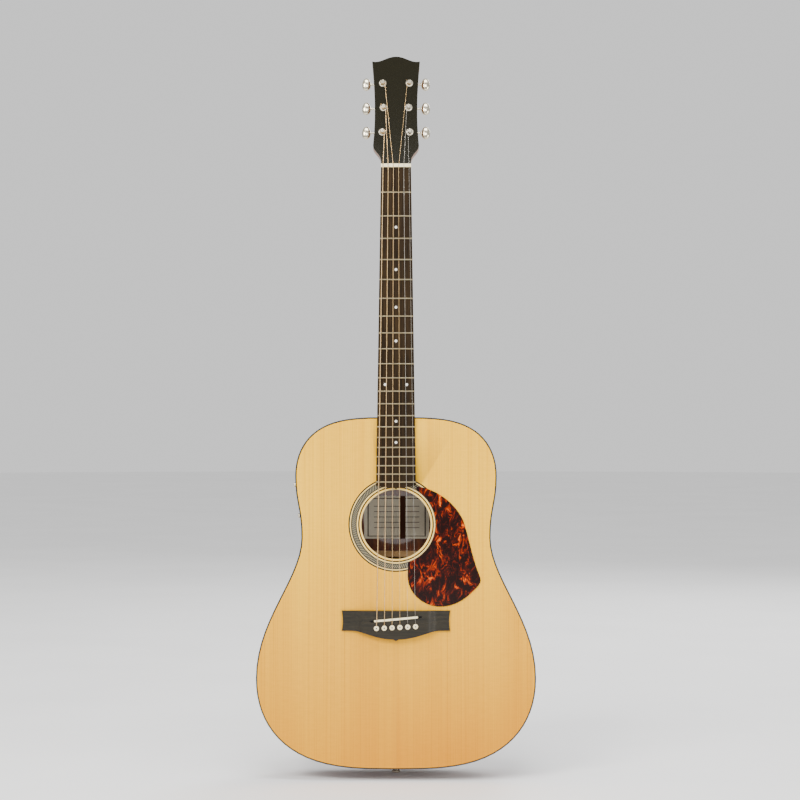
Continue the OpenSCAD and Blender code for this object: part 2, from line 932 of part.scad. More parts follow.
guitar_string(2);  // string_2
guitar_string(3);  // string_3
guitar_string(4);  // string_4
guitar_string(5);  // string_5
guitar_string(6);  // string_6
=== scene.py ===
"""Looks of a steel-string acoustic guitar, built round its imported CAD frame.

Everything is in metres in the frame's own axes: Z runs up the neck, -Y is the playing side
and +X is the treble side. Places and sizes come from the frame's nodes and joints.
"""
import json
import math

import bmesh
import bpy
from mathutils import Matrix, Vector


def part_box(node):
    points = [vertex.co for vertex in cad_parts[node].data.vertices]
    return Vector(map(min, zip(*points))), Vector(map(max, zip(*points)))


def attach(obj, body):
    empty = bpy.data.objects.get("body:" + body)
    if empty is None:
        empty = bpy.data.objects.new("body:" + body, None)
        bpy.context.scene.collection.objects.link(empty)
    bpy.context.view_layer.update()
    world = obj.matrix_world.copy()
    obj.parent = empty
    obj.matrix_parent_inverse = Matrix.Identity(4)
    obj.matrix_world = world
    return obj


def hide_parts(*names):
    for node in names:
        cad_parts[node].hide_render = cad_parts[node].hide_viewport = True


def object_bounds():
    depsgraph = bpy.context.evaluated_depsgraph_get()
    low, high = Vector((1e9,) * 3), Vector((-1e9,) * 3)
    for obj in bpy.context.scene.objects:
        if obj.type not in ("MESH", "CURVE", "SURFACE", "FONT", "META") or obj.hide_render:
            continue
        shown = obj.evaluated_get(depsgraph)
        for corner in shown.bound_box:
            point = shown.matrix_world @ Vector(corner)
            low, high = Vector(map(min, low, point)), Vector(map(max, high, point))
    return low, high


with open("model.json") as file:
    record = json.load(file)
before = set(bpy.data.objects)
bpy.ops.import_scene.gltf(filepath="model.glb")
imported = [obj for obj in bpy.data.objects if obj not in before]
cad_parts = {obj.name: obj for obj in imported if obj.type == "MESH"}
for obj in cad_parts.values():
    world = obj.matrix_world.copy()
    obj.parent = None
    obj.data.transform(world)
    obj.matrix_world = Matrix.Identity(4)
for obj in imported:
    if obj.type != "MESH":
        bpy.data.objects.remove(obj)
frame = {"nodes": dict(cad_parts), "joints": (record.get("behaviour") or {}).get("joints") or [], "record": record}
cad_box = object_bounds()

MM = 0.001
GUITAR = "guitar"
NODES = frame["nodes"]
JOINTS = {joint["child"]: joint for joint in frame["joints"]}
SLOTS = {part["node"]: part["material_slot"] for part in frame["record"]["subparts"]}
BODIES = frame["record"]["behaviour"]["bodies"]
NODE_BODY = {node: body for body, members in BODIES.items() for node in members}


def middle(node):
    low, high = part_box(node)
    return (low + high) / 2


BODY_CENTRE = middle("top_binding")
HOLE_CENTRE = middle("rosette_mosaic")
TOP_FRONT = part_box("top_binding")[0].y
# the headstock's own directions: out of its face, and up along it
HEAD_OUT = Vector(JOINTS["tuner_post_1"]["axis"]).normalized()
HEAD_UP = HEAD_OUT.cross(Vector((1.0, 0.0, 0.0)))
# the mosaic band of the rosette, the black lines beside it and its number of checks
MOSAIC_OUTER = (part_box("rosette_mosaic")[1].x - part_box("rosette_mosaic")[0].x) / 2
MOSAIC_INNER = MOSAIC_OUTER - 6.6 * MM
BLACK_LINE = 0.9 * MM
CHECKS_ROUND = 137
# the dark strip that runs down the label
STRIPE_X = 10.0 * MM
STRIPE_HALF = 4.6 * MM
# steeper folds than this stay sharp, in degrees
SHARP = 32.0
SHARP_CARVED = 40.0
SHARP_WIRE = 70.0
# corners closer than this, in metres, are one corner
WELD = 3e-6
WHITE = (1.0, 1.0, 1.0)

# ---------------------------------------------------------------- materials


class Paint:
    """A principled material built from small texture steps, all in the frame's own space."""

    def __init__(self, name, roughness=0.5, metallic=0.0, coat=0.0, coat_roughness=0.05, specular=0.5):
        self.material = bpy.data.materials.new(name)
        self.material.use_nodes = True
        self.tree = self.material.node_tree
        self.shader = self.tree.nodes["Principled BSDF"]
        self.shader.inputs["Roughness"].default_value = roughness
        self.shader.inputs["Metallic"].default_value = metallic
        self.shader.inputs["Coat Weight"].default_value = coat
        self.shader.inputs["Coat Roughness"].default_value = coat_roughness
        self.shader.inputs["Specular IOR Level"].default_value = specular
        self.place = self.add("ShaderNodeTexCoord").outputs["Object"]

    def add(self, kind, settings=None, **inputs):
        node = self.tree.nodes.new(kind)
        for key, value in (settings or {}).items():
            setattr(node, key, value)
        for key, value in inputs.items():
            self.feed(node.inputs[int(key[1:])] if key[1:].isdigit() else node.inputs[key], value)
        return node

    def feed(self, socket, value):
        if isinstance(value, bpy.types.NodeSocket):
            self.tree.links.new(value, socket)
        elif isinstance(value, tuple) and socket.type == "RGBA" and len(value) == 3:
            socket.default_value = (*value, 1.0)
        else:
            socket.default_value = value

    def maths(self, operation, a, b=0.0):
        node = self.add("ShaderNodeMath", {"operation": operation}, i0=a, i1=b)
        return node.outputs[0]

    def axes(self):
        """The frame's x, y and z at the point."""
        return self.add("ShaderNodeSeparateXYZ", Vector=self.place).outputs

    def vector(self, x, y, z):
        return self.add("ShaderNodeCombineXYZ", X=x, Y=y, Z=z).outputs[0]

    def stretched(self, x, y, z):
        """The frame's space, scaled so that a texture gets x, y and z features per metre."""
        node = self.add("ShaderNodeVectorMath", {"operation": "MULTIPLY"}, i0=self.place, i1=(x, y, z))
        return node.outputs[0]

    def noise(self, vector, detail=3.0, roughness=0.5, distortion=0.0):
        node = self.add("ShaderNodeTexNoise", Vector=vector, Scale=1.0, Detail=detail,
                        Roughness=roughness, Distortion=distortion)
        return node.outputs["Fac"]

    def ramp(self, factor, stops):
        """Colours blended along a factor, from stops of (position, colour)."""
        node = self.add("ShaderNodeValToRGB", Fac=factor)
        points = node.color_ramp.elements
        while len(points) < len(stops):
            points.new(1.0)
        for point, (position, colour) in zip(points, stops):
            point.position = position
            point.color = (*colour, 1.0)
        return node.outputs["Color"]

    def steps(self, factor, low, high, a=0.0, b=1.0):
        """A factor mapped from low..high to a..b, and held there outside."""
        node = self.add("ShaderNodeMapRange", i0=factor, i1=low, i2=high, i3=a, i4=b)
        return node.outputs[0]

    def mix(self, factor, a, b, blend="MIX"):
        node = self.add("ShaderNodeMix", {"data_type": "RGBA", "blend_type": blend}, i0=factor, i6=a, i7=b)
        return node.outputs[2]

    def colour(self, value):
        self.feed(self.shader.inputs["Base Color"], value)
        return self

    def rough(self, value):
        self.feed(self.shader.inputs["Roughness"], value)
        return self

    def bump(self, height, depth, strength=1.0):
        """Relief of a height from 0 to 1, depth metres deep."""
        node = self.add("ShaderNodeBump", Height=height, Distance=depth, Strength=strength)
        self.feed(self.shader.inputs["Normal"], node.outputs[0])
        return self

    def coat_bump(self, height, depth, strength=1.0):
        """The same relief in the clear coat only."""
        node = self.add("ShaderNodeBump", Height=height, Distance=depth, Strength=strength)
        self.feed(self.shader.inputs["Coat Normal"], node.outputs[0])
        return self


SPRUCE_EARLY = (0.90, 0.515, 0.025)
SPRUCE_MID = (0.85, 0.465, 0.018)
SPRUCE_LATE = (0.69, 0.34, 0.012)


def spruce_top():
    """Bookmatched spruce: mirrored growth rings, broad bands, cross silk and a centre seam."""
    p = Paint("spruce_top", roughness=0.3, coat=0.13, coat_roughness=0.04, specular=0.06)
    x, _, z = p.axes()
    across = p.maths("ABSOLUTE", x)
    bend = p.vector(p.maths("MULTIPLY", across, 18.0), 0.0, p.maths("MULTIPLY", z, 3.0))
    wander = p.noise(bend, detail=1.0)
    across = p.maths("ADD", across, p.maths("MULTIPLY", wander, 0.004))
    along = p.maths("MULTIPLY", z, 1.2)
    rings = p.noise(p.vector(p.maths("MULTIPLY", across, 760.0), 0.0, along), detail=2.0, roughness=0.6)
    bands = p.noise(p.vector(p.maths("MULTIPLY", across, 110.0), 3.0, along), detail=2.0)
    broad = p.noise(p.vector(p.maths("MULTIPLY", x, 13.0), 7.0, p.maths("MULTIPLY", z, 1.5)), detail=1.0)
    silk = p.noise(p.stretched(60.0, 1.0, 380.0), detail=2.0, roughness=0.6)
    fibre = p.noise(p.stretched(2600.0, 1.0, 60.0), detail=1.0)
    colour = p.ramp(rings, [(0.30, SPRUCE_LATE), (0.46, SPRUCE_MID), (0.66, SPRUCE_EARLY)])
    layers = (
        p.ramp(bands, [(0.30, (0.95, 0.91, 0.85)), (0.60, WHITE)]),
        p.ramp(broad, [(0.32, (0.93, 0.88, 0.80)), (0.62, WHITE)]),
        p.ramp(silk, [(0.35, (0.95, 0.94, 0.92)), (0.65, WHITE)]),
        p.ramp(fibre, [(0.3, (0.96, 0.95, 0.93)), (0.7, WHITE)]),
        # the top is coloured darker and oranger towards its lower end
        p.ramp(p.steps(z, BODY_CENTRE.z - 0.24, BODY_CENTRE.z + 0.12),
               [(0.0, (0.79, 0.64, 0.28)), (1.0, WHITE)]),
    )
    for layer in layers:
        colour = p.mix(1.0, colour, layer, "MULTIPLY")
    # below the bridge the two halves take the light differently
    right_half = p.steps(x, 0.0, 0.0004)
    low_down = p.steps(z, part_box("bridge")[0].z - 0.16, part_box("bridge")[0].z - 0.02, 1.0, 0.0)
    colour = p.mix(p.maths("MULTIPLY", right_half, low_down), colour,
                   p.mix(1.0, colour, (0.93, 0.87, 0.76), "MULTIPLY"))
    seam = p.steps(p.maths("ABSOLUTE", x), 0.00015, 0.0006, 1.0, 0.0)
    colour = p.mix(p.maths("MULTIPLY", seam, 0.3), colour, (0.45, 0.22, 0.06))
    p.colour(colour)
    p.rough(p.steps(rings, 0.3, 0.7, 0.36, 0.26))
    return p.bump(rings, 0.00002, 0.3).coat_bump(p.noise(p.stretched(45, 45, 45), detail=2.0), 0.0004, 0.06)


PORE_SHARE = 0.42
PORE_EDGE = 0.08


def grained_wood(name, dark, light, pore, stretch, roughness, coat, figure=0.25, specular=0.4):
    """Open-pored hardwood whose grain runs along the axis with the smallest stretch."""
    p = Paint(name, roughness=roughness, coat=coat, coat_roughness=0.06, specular=specular)
    grain = p.noise(p.stretched(*stretch), detail=4.0, roughness=0.6, distortion=0.3)
    fine = p.noise(p.stretched(*(4.5 * s for s in stretch)), detail=2.0)
    pores = p.noise(p.stretched(*(9.0 * s for s in stretch)), detail=1.0)
    cloud = p.noise(p.stretched(9.0, 9.0, 9.0), detail=2.0)
    figuring = p.ramp(fine, [(0.3, (0.55, 0.5, 0.46)), (0.7, (1.25, 1.22, 1.2))])
    clouding = p.ramp(cloud, [(0.3, (0.72, 0.7, 0.68)), (0.7, (1.12, 1.1, 1.1))])
    colour = p.ramp(grain, [(0.28, dark), (0.72, light)])
    colour = p.mix(figure, colour, figuring, "MULTIPLY")
    colour = p.mix(0.5, colour, clouding, "MULTIPLY")
    pits = p.steps(pores, PORE_SHARE - PORE_EDGE, PORE_SHARE, 1.0, 0.0)
    p.colour(p.mix(p.maths("MULTIPLY", pits, 0.8), colour, pore))
    p.rough(p.steps(grain, 0.3, 0.7, roughness + 0.08, roughness - 0.06))
    return p.bump(p.maths("SUBTRACT", 1.0, pits), 0.00006, 0.5 if coat < 0.5 else 0.12)


def raw_wood(name, dark, light, stretch):
    """Unfinished wood of the inside, dull and even."""
    return grained_wood(name, dark, light, dark, stretch, roughness=0.75, coat=0.0, figure=0.2)


SCRATCH_WEAR = 0.12


def solid_plastic(name, colour, speck, roughness, coat=0.6):
    """Polished plastic with faint clouding, fine scratches and uneven polish."""
    p = Paint(name, roughness=roughness, coat=coat, coat_roughness=0.04)
    cloud = p.noise(p.stretched(160.0, 160.0, 160.0), detail=4.0)
    scratches = p.noise(p.stretched(900.0, 140.0, 2400.0), detail=2.0, distortion=0.8)
    p.colour(p.ramp(cloud, [(0.3, colour), (0.75, speck)]))
    p.rough(p.steps(scratches, 0.35, 0.7, roughness - SCRATCH_WEAR / 2, roughness + SCRATCH_WEAR))
    return p.bump(cloud, 0.00002, 0.25)


def tortoise():
    """Nearly black red-brown plastic with drawn-out red streaks and orange flames."""
    p = Paint("tortoise_plastic", roughness=0.14, coat=0.05, coat_roughness=0.03, specular=0.12)
    flow = p.noise(p.stretched(38.0, 38.0, 20.0), detail=2.0, distortion=1.0)
    drift = p.add("ShaderNodeVectorMath", {"operation": "ADD"}, i0=p.stretched(120.0, 120.0, 58.0),
                  i1=p.vector(p.maths("MULTIPLY", flow, 4.0), 0.0, p.maths("MULTIPLY", flow, 2.0))).outputs[0]
    streaks = p.noise(drift, detail=6.0, roughness=0.68, distortion=1.4)
    patches = p.noise(p.stretched(48.0, 48.0, 30.0), detail=2.0, distortion=0.6)
    heat = p.maths("ADD", p.maths("MULTIPLY", streaks, 0.72), p.maths("MULTIPLY", patches, 0.28))
    p.colour(p.ramp(heat, [(0.47, (0.008, 0.0015, 0.001)), (0.525, (0.035, 0.003, 0.001)),
                           (0.56, (0.15, 0.009, 0.0)), (0.61, (0.42, 0.045, 0.0)),
                           (0.68, (0.90, 0.24, 0.0))]))
    p.rough(p.steps(patches, 0.3, 0.7, 0.13, 0.2))
    return p.bump(streaks, 0.00001, 0.1)


def from_hole(p):
    """Height above the soundhole's centre, and distance from it."""
    x, _, z = p.axes()
    up = p.maths("SUBTRACT", z, HOLE_CENTRE.z)
    squares = p.maths("ADD", p.maths("MULTIPLY", x, x), p.maths("MULTIPLY", up, up))
    return up, p.maths("SQRT", squares)


def ring_cream():
    """Cream rings with a fine black line along the edge that meets the mosaic."""
    p = Paint("cream_plastic", roughness=0.32, coat=0.2, coat_roughness=0.04, specular=0.3)
    radius = from_hole(p)[1]
    inner = p.maths("GREATER_THAN", radius, MOSAIC_INNER - BLACK_LINE)
    outer = p.maths("LESS_THAN", radius, MOSAIC_OUTER + BLACK_LINE)
    line = p.maths("MULTIPLY", inner, outer)
    cloud = p.noise(p.stretched(160.0, 160.0, 160.0), detail=4.0)
    cream = p.ramp(cloud, [(0.3, (0.66, 0.46, 0.13)), (0.75, (0.78, 0.57, 0.20))])
    p.colour(p.mix(line, cream, (0.012, 0.010, 0.007)))
    return p.bump(cloud, 0.00002, 0.25)


def mosaic():
    """Dark ring with pale slanting checks, counted round the soundhole."""
    p = Paint("rosette_mosaic", roughness=0.3, coat=0.3, coat_roughness=0.035, specular=0.3)
    up, radius = from_hole(p)
    angle = p.maths("ARCTAN2", up, p.axes()[0])
    row_width = (MOSAIC_OUTER - MOSAIC_INNER) / 3
    row = p.maths("DIVIDE", p.maths("SUBTRACT", radius, MOSAIC_INNER), row_width)
    turn = p.maths("MULTIPLY", angle, CHECKS_ROUND / (2 * math.pi))
    slant = p.maths("FRACT", p.maths("ADD", turn, p.maths("MULTIPLY", row, 0.5)))
    check = p.maths("LESS_THAN", slant, 0.34)
    edge = p.maths("MULTIPLY", p.maths("GREATER_THAN", row, 0.22), p.maths("LESS_THAN", row, 2.78))
    flecks = p.noise(p.stretched(1500.0, 1.0, 1500.0), detail=2.0)
    pale = p.ramp(flecks, [(0.3, (0.16, 0.13, 0.07)), (0.7, (0.42, 0.36, 0.21))])
    dark = p.ramp(flecks, [(0.3, (0.006, 0.006, 0.005)), (0.7, (0.022, 0.020, 0.014))])
    p.colour(p.mix(p.maths("MULTIPLY", check, edge), dark, pale))
    return p


def black_gloss(name, tint=(0.008, 0.007, 0.006), specular=0.35):
    """Deep black polish with faint dust specks and a slightly uneven surface."""
    p = Paint(name, roughness=0.1, specular=specular)
    dust = p.noise(p.stretched(420.0, 420.0, 420.0), detail=3.0)
    p.colour(p.ramp(dust, [(0.4, tint), (0.85, tuple(1.3 * c for c in tint))]))
    p.rough(p.steps(dust, 0.3, 0.7, 0.10, 0.12))
    return p.bump(p.noise(p.stretched(30.0, 30.0, 30.0), detail=2.0), 0.0004, 0.08)


def metal(name, colour, stain, roughness, stretch=(900.0, 900.0, 900.0)):
    """Bright metal with smudges and directional fine lines."""
    p = Paint(name, roughness=roughness, metallic=1.0)
    lines = p.noise(p.stretched(*stretch), detail=3.0)
    smudge = p.noise(p.stretched(140.0, 140.0, 140.0), detail=4.0, roughness=0.6)
    p.colour(p.mix(p.steps(smudge, 0.45, 0.75), colour, stain))
    p.rough(p.steps(p.maths("ADD", lines, smudge), 0.7, 1.3, roughness * 0.7, roughness * 1.6))
    return p.bump(lines, 0.000004, 0.4)


def label_paper():
    """Aged paper with a printed border, plain ruled lines and a dark strip down it."""
    p = Paint("label_paper", roughness=0.85, specular=0.2)
    low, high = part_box("label")
    centre, half = (low + high) / 2, (high - low) / 2
    x, _, z = p.axes()
    beside = p.maths("DIVIDE", p.maths("SUBTRACT", x, centre.x), half.x)
    above = p.maths("DIVIDE", p.maths("SUBTRACT", z, centre.z), half.z)
    edge = p.maths("MAXIMUM", p.maths("ABSOLUTE", beside), p.maths("ABSOLUTE", above))
    border = p.maths("MULTIPLY", p.maths("GREATER_THAN", edge, 0.86), p.maths("LESS_THAN", edge, 0.9))
    rules = p.maths("FRACT", p.maths("MULTIPLY", z, 125.0))
    ruled = p.maths("MULTIPLY", p.maths("LESS_THAN", rules, 0.12), p.maths("LESS_THAN", edge, 0.7))
    fibres = p.noise(p.stretched(400.0, 400.0, 900.0), detail=4.0)
    paper = p.ramp(fibres, [(0.3, (0.66, 0.60, 0.46)), (0.7, (0.76, 0.70, 0.55))])
    printed = p.mix(p.maths("MAXIMUM", border, ruled), paper, (0.10, 0.085, 0.07))
    from_stripe = p.maths("ABSOLUTE", p.maths("SUBTRACT", x, STRIPE_X))
    strip = p.steps(from_stripe, 0.8 * STRIPE_HALF, STRIPE_HALF, 1.0, 0.0)
    p.colour(p.mix(strip, printed, (0.055, 0.018, 0.008)))
    return p.bump(fibres, 0.00004, 0.4)


def soft_black():
    """Matt black moulded plastic with a fine texture."""
    p = Paint("preamp_plastic", roughness=0.55)
    grain = p.noise(p.stretched(1800.0, 1800.0, 1800.0), detail=2.0)
    p.colour(p.ramp(grain, [(0.3, (0.012, 0.012, 0.013)), (0.7, (0.03, 0.03, 0.032))]))
    p.rough(p.steps(grain, 0.3, 0.7, 0.42, 0.62))
    return p.bump(grain, 0.00005, 0.5)


# features per metre along x, y and z, for the ways that the grain can run
ALONG = (260.0, 260.0, 5.0)
ACROSS = (5.0, 260.0, 260.0)
RIM = (7.0, 300.0, 7.0)
BOARD = (330.0, 330.0, 7.0)
BRIDGE = (7.0, 330.0, 330.0)
STRING = (900.0, 900.0, 60.0)
FRET = (40.0, 900.0, 2500.0)
# dark grain, light grain and pores
MAHOGANY = ((0.075, 0.020, 0.008), (0.20, 0.062, 0.024), (0.016, 0.005, 0.003))
NECK_WOOD = ((0.16, 0.066, 0.026), (0.32, 0.155, 0.07), (0.05, 0.02, 0.01))
ROSEWOOD = ((0.007, 0.004, 0.0015), (0.036, 0.021, 0.008), (0.003, 0.002, 0.001))
BRIDGE_WOOD = ((0.008, 0.007, 0.004), (0.030, 0.025, 0.015), (0.003, 0.002, 0.001))
PAINTS = {
    "spruce_top": spruce_top(),
    "mahogany": grained_wood("mahogany", *MAHOGANY, ALONG, 0.32, 1.0),
    "mahogany_rim": grained_wood("mahogany_rim", *MAHOGANY, RIM, 0.32, 1.0),
    "block_wood": raw_wood("block_wood", (0.16, 0.075, 0.035), (0.30, 0.16, 0.08), ALONG),
    # the braces are raw spruce, their colour darkened below bare spruce as painted shade of the inside of the body
    "brace_spruce": raw_wood("brace_spruce", (0.34, 0.19, 0.07), (0.52, 0.33, 0.15), ACROSS),
    "neck_wood": grained_wood("neck_wood", *NECK_WOOD, ALONG, 0.38, 0.35),
    "rosewood": grained_wood("rosewood", *ROSEWOOD, BOARD, 0.45, 0.0, figure=0.5, specular=0.08),
    "bridge_wood": grained_wood("bridge_wood", *BRIDGE_WOOD, BRIDGE, 0.30, 0.1, figure=0.5, specular=0.2),
    "black_binding": black_gloss("black_binding"),
    "gloss_black": black_gloss("gloss_black", (0.007, 0.006, 0.002), 0.2),
    "cream_plastic": ring_cream(),
    "rosette_mosaic": mosaic(),
    "tortoise_plastic": tortoise(),
    "label_paper": label_paper(),
    "ivory_plastic": solid_plastic("ivory_plastic", (0.82, 0.72, 0.42), (0.88, 0.79, 0.52), 0.30, 0.3),
    "pin_dot": solid_plastic("pin_dot", (0.012, 0.010, 0.009), (0.03, 0.025, 0.02), 0.25),
    "dot_pearl": solid_plastic("dot_pearl", (0.62, 0.60, 0.55), (0.86, 0.85, 0.80), 0.22, 1.0),
    "chrome": metal("chrome", (0.58, 0.53, 0.41), (0.42, 0.38, 0.29), 0.15),
    # the frets' nickel silver keeps a warm metal tint but is darker than the bare metal, as painted shade standing
    # in for dim reflections
    "nickel_silver": metal("nickel_silver", (0.30, 0.25, 0.15), (0.22, 0.18, 0.11), 0.30, FRET),
    "steel": metal("steel", (0.40, 0.40, 0.40), (0.25, 0.24, 0.23), 0.4),
    "brass": metal("brass", (0.70, 0.50, 0.22), (0.45, 0.30, 0.13), 0.32),
    "bronze_string": metal("bronze_string", (0.66, 0.46, 0.24), (0.45, 0.30, 0.14), 0.32, STRING),
    "plain_string": metal("plain_string", (0.46, 0.44, 0.40), (0.34, 0.32, 0.29), 0.34, STRING),
    "preamp_plastic": soft_black(),
}
# nodes whose look differs from their slot's usual one only in the direction of the grain or the tint
LOOKS = {
    "side_bass": "mahogany_rim",
    "side_treble": "mahogany_rim",
    "bridge": "bridge_wood",
    "position_dots": "dot_pearl",
}


def look_of(node):
    """The material that a CAD node wears."""
    return PAINTS[LOOKS.get(node, SLOTS[node])].material


# ---------------------------------------------------------------- pieces


def smooth(mesh, sharp):
    """Smooth shading, except across folds steeper than the angle."""
    for face in mesh.polygons:
        face.use_smooth = True
    mesh.set_sharp_from_angle(angle=math.radians(sharp))


def piece(name, bm, paint, body=GUITAR, replaces=(), sharp=SHARP, weighted=False):
    """A finished mesh piece that rides on a body and may stand for CAD nodes."""
    bmesh.ops.recalc_face_normals(bm, faces=bm.faces)
    mesh = bpy.data.meshes.new(name)
    bm.to_mesh(mesh)
    bm.free()
    smooth(mesh, sharp)
    mesh.materials.append(PAINTS[paint].material)
    obj = bpy.data.objects.new(name, mesh)
    bpy.context.scene.collection.objects.link(obj)
    if weighted:
        modifier = obj.modifiers.new("weighted_normals", "WEIGHTED_NORMAL")
        modifier.keep_sharp = True
        modifier.weight = 100
    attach(obj, body)
    if replaces:
        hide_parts(*replaces)
    return obj


def cad_mesh(node):
    """A welded copy of a CAD node's mesh, with its flat faces whole again."""
    bm = bmesh.new()
    bm.from_mesh(NODES[node].data)
    bmesh.ops.remove_doubles(bm, verts=bm.verts, dist=WELD)
    bmesh.ops.dissolve_limit(bm, angle_limit=math.radians(0.3), verts=bm.verts, edges=bm.edges)
    return bm


def edge_angle(edge):
    return edge.calc_face_angle(0.0) if len(edge.link_faces) == 2 else 0.0


def polished(node, bevel=0.0, segments=2, where=None):
    """The CAD node again, with smooth shading and its crisp edges eased as a maker would."""
    bm = cad_mesh(node)
    if bevel:
        eased = [e for e in bm.edges if edge_angle(e) > math.radians(40) and (where is None or where(e))]
        bmesh.ops.bevel(bm, geom=eased, offset=bevel, segments=segments, profile=0.5,
                        affect="EDGES", clamp_overlap=True)
    return piece(node + "_finished", bm, LOOKS.get(node, SLOTS[node]), NODE_BODY[node],
                 (node,), weighted=bevel > 0)


def outer_rim_edge(edge):
    """True on the binding's edge between its outer side and its front or back."""
    centre = (edge.verts[0].co + edge.verts[1].co) / 2
    out = Vector((centre.x - BODY_CENTRE.x, 0.0, centre.z - BODY_CENTRE.z)).normalized()
    normals = [f.normal for f in edge.link_faces]
    facing = 1.0 if centre.y > 50 * MM else -1.0
    on_face = any(n.y * facing > 0.9 for n in normals)
    on_side = any(n.dot(out) > 0.3 and abs(n.y) < 0.3 for n in normals)
    return on_face and on_side


def make_body():
    """The plates and sides, and the bindings with their outer edges rounded."""
    for node in ("soundboard", "back", "side_bass", "side_treble"):
        polished(node)
    for node in ("top_binding", "back_binding"):
        polished(node, 0.9 * MM, 3, outer_rim_edge)


def make_trim():
    """Everything on the body, neck and headstock that keeps its CAD shape but loses its crisp edges."""
    polished("pickguard", 0.5 * MM, where=lambda e: all(v.co.y < -0.5 * MM for v in e.verts))
    polished("bridge", 0.7 * MM, 3)
    polished("saddle", 0.5 * MM, 3)
    polished("nut", 0.15 * MM)
    polished("bridge_pins", 0.35 * MM)
    polished("fingerboard", 0.25 * MM, where=lambda e: e.calc_length() > 8 * MM)
    polished("frets", 0.22 * MM, where=lambda e: e.calc_length() > 1.5 * MM)
    polished("headstock_veneer", 0.4 * MM)
    polished("heel_cap", 0.5 * MM)
    polished("end_pin_jack", 0.3 * MM)
    polished("tuner_bushings", 0.2 * MM)
    polished("tuner_screws", 0.2 * MM)
    polished("preamp", 0.5 * MM)
    polished("preamp_knob_volume", 0.3 * MM)
    polished("preamp_knob_tone", 0.3 * MM)
    for k in range(1, 7):
        polished(f"tuner_post_{k}", 0.12 * MM)


def evaluated(obj):
    """The mesh of an object with its modifiers applied, as a bmesh; the object is removed."""
    graph = bpy.context.evaluated_depsgraph_get()
    bm = bmesh.new()
    bm.from_mesh(obj.evaluated_get(graph).to_mesh())
    mesh = obj.data
    bpy.data.objects.remove(obj)
    bpy.data.meshes.remove(mesh)
    return bm


def cut_flat(bm, point, normal):
    """Cuts away what lies on the normal's side of a plane and closes the cut."""
    geometry = list(bm.verts) + list(bm.edges) + list(bm.faces)
    made = bmesh.ops.bisect_plane(bm, geom=geometry, plane_co=point, plane_no=normal, clear_outer=True)
    rim = [g for g in made["geom_cut"] if isinstance(g, bmesh.types.BMEdge)]
    bmesh.ops.triangle_fill(bm, use_beauty=True, edges=rim)


CARVING_PROUD = 2.5 * MM
CARVING_VOXEL = 1.0 * MM
SANDING_PASSES = 14


def make_neck():
    """The neck and headstock as one carved piece, with the joins between their surfaces blended.

    The glued faces are first moved out, so that the smoothing rounds only what is cut away after it.
    """
    bm = bmesh.new()
    for node in ("neck", "headstock"):
        part = NODES[node].data.copy()
        bm.from_mesh(part)
        bpy.data.meshes.remove(part)
    bmesh.ops.remove_doubles(bm, verts=bm.verts, dist=WELD)
    fold = Vector((0.0, 0.0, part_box("nut")[1].z))
    for v in bm.verts:
        on_face = (v.co - fold).dot(HEAD_OUT)
        if v.co.z <= fold.z + 0.1 * MM and v.co.y < 0.2 * MM:
            v.co.y -= CARVING_PROUD
        elif v.co.z > fold.z and on_face > -0.2 * MM:
            v.co += HEAD_OUT * CARVING_PROUD
    mesh = bpy.data.meshes.new("carving")
    bm.to_mesh(mesh)
    bm.free()
    carving = bpy.data.objects.new("carving", mesh)
    bpy.context.scene.collection.objects.link(carving)
    remesh = carving.modifiers.new("remesh", "REMESH")
    remesh.mode = "VOXEL"
    remesh.voxel_size = CARVING_VOXEL
    sanding = carving.modifiers.new("sanding", "SMOOTH")
    sanding.iterations = SANDING_PASSES
    sanding.factor = 0.5
    bm = evaluated(carving)
    cut_flat(bm, Vector((0.0, 0.0, 0.0)), Vector((0.0, -1.0, 0.0)))
    cut_flat(bm, fold, HEAD_OUT)
    piece("neck_carved", bm, "neck_wood", GUITAR, ("neck", "headstock"), sharp=SHARP_CARVED)


def tube(bm, path, radii, sides):
    """A closed tube through the points of a path, with one radius at each point."""
    rings = []
    previous = None
    for k, point in enumerate(path):
        ahead = path[min(k + 1, len(path) - 1)] - path[max(k - 1, 0)]
        ahead.normalize()
        side = previous if previous is not None else ahead.orthogonal()
        side = (side - ahead * side.dot(ahead)).normalized()
        previous = side
        other = ahead.cross(side)
        turns = [2 * math.pi * s / sides for s in range(sides)]
        rings.append([bm.verts.new(point + radii[k] * (math.cos(t) * side + math.sin(t) * other))
                      for t in turns])
    for a, b in zip(rings, rings[1:]):
        for s in range(sides):
            bm.faces.new((a[s], a[(s + 1) % sides], b[(s + 1) % sides], b[s]))
    bm.faces.new(list(reversed(rings[0])))
    bm.faces.new(rings[-1])


def lathe(bm, profile, origin, axis, sides):
    """A turned shape: profile holds (distance along the axis, radius) from one end to the other."""
    path = [origin + axis * along for along, _ in profile]
    tube(bm, path, [radius for _, radius in profile], sides)


def string_route(node):
    """Centres of the CAD string's rings from the bridge up to its post, and its radius."""
    bm = cad_mesh(node)
    heights = sorted({round(v.co.z, 6) for v in bm.verts})
    route = []
    for height in heights:
        ring = [v.co.copy() for v in bm.verts if abs(v.co.z - height) < 2e-6]
        route.append(sum(ring, Vector()) / len(ring))
    bm.free()
    return route, min(p.x for p in route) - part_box(node)[0].x


WIND_PITCH = 0.55 * MM
WIND_WAIST = 0.86


def wound(points, radius, is_wound):
    """The route cut into short steps, with the radius swelling on every turn of the winding."""
    if not is_wound:
        return points, [radius] * len(points)
    fine, radii = [], []
    for a, b in zip(points, points[1:]):
        steps = max(2, int((b - a).length / (WIND_PITCH / 2)))
        for s in range(steps):
            fine.append(a.lerp(b, s / steps))
            radii.append(radius if len(fine) % 2 else radius * WIND_WAIST)
    fine.append(points[-1])
    radii.append(radius)
    return fine, radii


